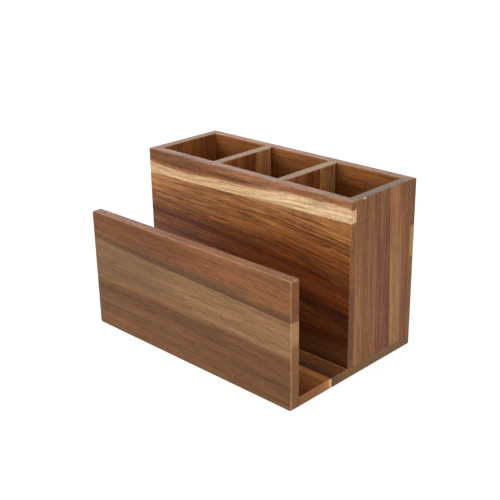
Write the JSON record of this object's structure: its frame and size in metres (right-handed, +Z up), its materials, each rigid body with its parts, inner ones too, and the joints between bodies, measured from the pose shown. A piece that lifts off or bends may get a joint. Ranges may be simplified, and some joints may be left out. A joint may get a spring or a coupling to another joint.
{
  "type": "utensil caddy",
  "caption": "Wooden table caddy: square cells for standing cutlery behind an open-ended slot for napkins or plates, with a low front panel.",
  "frame": {"origin": "middle of the underside, where the caddy rests on the table", "axes": "+Z up, +X along the boards' length to the right as seen from the front, +Y from the front panel towards the back wall"},
  "size_m": [0.254, 0.165, 0.163],
  "materials": {
    "red_brown_acacia": "semi-gloss oiled, reddish brown heartwood with fine straight grain",
    "golden_brown_acacia": "semi-gloss oiled, golden brown heartwood with darker streaks",
    "dark_brown_acacia": "semi-gloss oiled, dark brown heartwood",
    "pale_streaked_acacia": "semi-gloss oiled, pale sapwood band beside brown heartwood",
    "dowel_beech": "plain turned beech"
  },
  "bodies": {
    "root": {"front_panel_upper_stave": "red_brown_acacia", "front_panel_lower_stave": "golden_brown_acacia", "base_front_stave": "red_brown_acacia", "base_middle_stave": "dark_brown_acacia", "base_rear_stave": "dark_brown_acacia", "front_wall_top_stave": "pale_streaked_acacia", "front_wall_middle_stave": "golden_brown_acacia", "front_wall_bottom_stave": "dark_brown_acacia", "back_wall_top_stave": "golden_brown_acacia", "back_wall_middle_stave": "pale_streaked_acacia", "back_wall_bottom_stave": "dark_brown_acacia", "right_side_front_stave": "red_brown_acacia", "right_side_rear_stave": "golden_brown_acacia", "left_side_front_stave": "red_brown_acacia", "left_side_rear_stave": "golden_brown_acacia", "divider_1_front_stave": "red_brown_acacia", "divider_1_rear_stave": "dark_brown_acacia", "divider_2_front_stave": "red_brown_acacia", "divider_2_rear_stave": "dark_brown_acacia", "front_panel_dowels": "dowel_beech", "front_wall_dowels": "dowel_beech", "back_wall_dowels": "dowel_beech", "side_dowels": "dowel_beech", "front_corner_dowels": "dowel_beech", "back_corner_dowels": "dowel_beech", "front_divider_dowels": "dowel_beech", "back_divider_dowels": "dowel_beech"}
  },
  "joints": []
}
